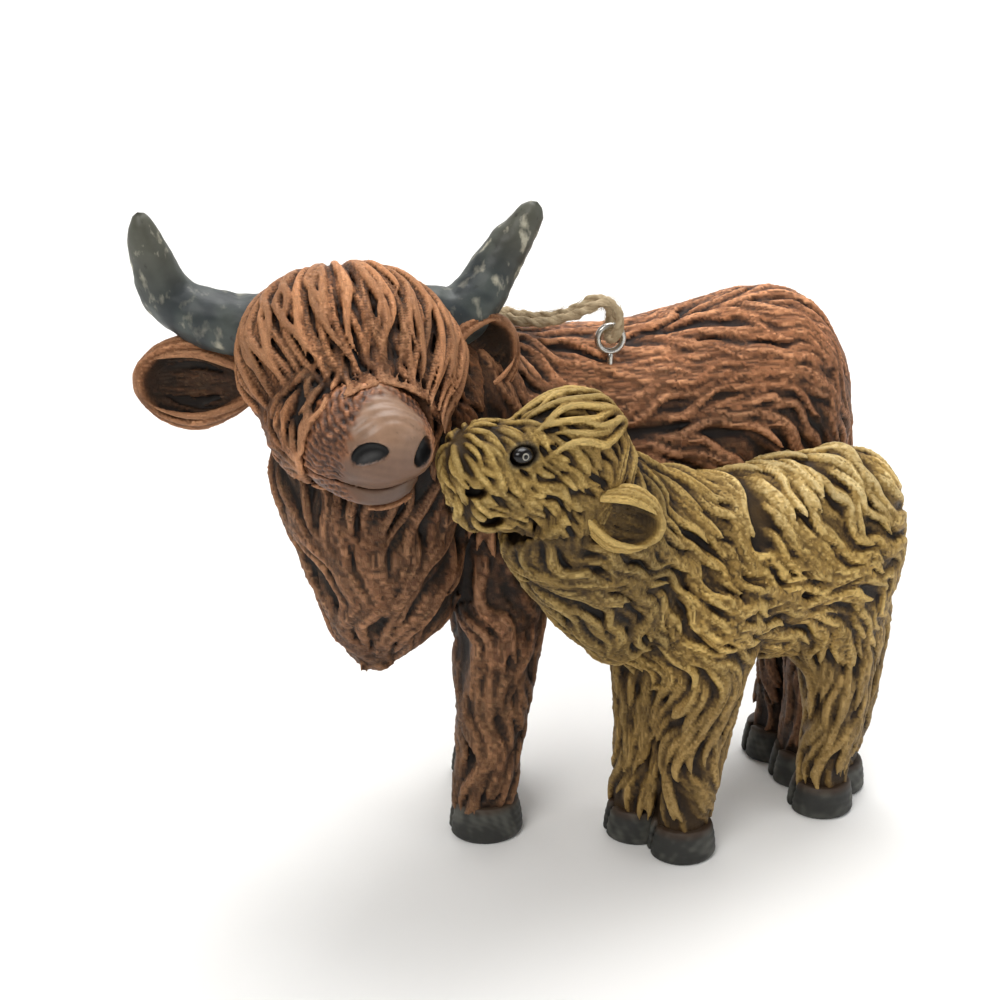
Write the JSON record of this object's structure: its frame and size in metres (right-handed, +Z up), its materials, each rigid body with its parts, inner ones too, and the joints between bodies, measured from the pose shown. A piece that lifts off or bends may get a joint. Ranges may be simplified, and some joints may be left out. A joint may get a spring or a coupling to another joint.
{
  "type": "cow figurine",
  "caption": "Painted resin hanging ornament of a long-haired horned cow standing with her calf, with a screw eye and a jute hanging loop.",
  "frame": {"origin": "on the ground under the middle of the box round the two animals", "axes": "+X towards the cow's rump, -X towards her head end, -Y towards the calf's side, which she faces, +Z up"},
  "size_m": [0.1108, 0.0571, 0.0936],
  "materials": {
    "cow_coat": "painted resin, satin, dark wash in the grooves",
    "calf_coat": "painted resin, satin, dark wash in the grooves",
    "muzzle_paint": "painted resin, semi-gloss",
    "horn_paint": "painted resin, satin, dry-brushed pale",
    "hoof_paint": "painted resin, satin",
    "eye_paint": "painted resin, gloss",
    "jute_twine": "natural twisted fibre",
    "hanger_wire": "plated wire"
  },
  "bodies": {
    "figurine": {"calf_forelock": "calf_coat", "calf_head": "calf_coat", "calf_left_ear": "calf_coat", "calf_left_eye": "eye_paint", "calf_left_fore_hoof": "hoof_paint", "calf_left_fore_leg": "calf_coat", "calf_left_hind_hoof": "hoof_paint", "calf_left_hind_leg": "calf_coat", "calf_neck": "calf_coat", "calf_right_ear": "calf_coat", "calf_right_eye": "eye_paint", "calf_right_fore_hoof": "hoof_paint", "calf_right_fore_leg": "calf_coat", "calf_right_hind_hoof": "hoof_paint", "calf_right_hind_leg": "calf_coat", "calf_tail": "calf_coat", "calf_torso": "calf_coat", "cow_forelock": "cow_coat", "cow_head": "cow_coat", "cow_left_ear": "cow_coat", "cow_left_fore_hoof": "hoof_paint", "cow_left_fore_leg": "cow_coat", "cow_left_hind_hoof": "hoof_paint", "cow_left_hind_leg": "cow_coat", "cow_left_horn": "horn_paint", "cow_mane": "cow_coat", "cow_muzzle": "muzzle_paint", "cow_neck": "cow_coat", "cow_right_ear": "cow_coat", "cow_right_fore_hoof": "hoof_paint", "cow_right_fore_leg": "cow_coat", "cow_right_hind_hoof": "hoof_paint", "cow_right_hind_leg": "cow_coat", "cow_right_horn": "horn_paint", "cow_tail": "cow_coat", "cow_torso": "cow_coat", "screw_eye": "hanger_wire"},
    "hanging_twine": {"twine_knot": "jute_twine", "twine_loop": "jute_twine"}
  },
  "joints": [
    {"name": "twine_swing", "type": "hinge", "parent": "figurine", "child": "hanging_twine", "pos_m": [0.0086, 0.0051, 0.0734], "axis": [0, 1, 0], "range_deg": [0, 90]}
  ]
}
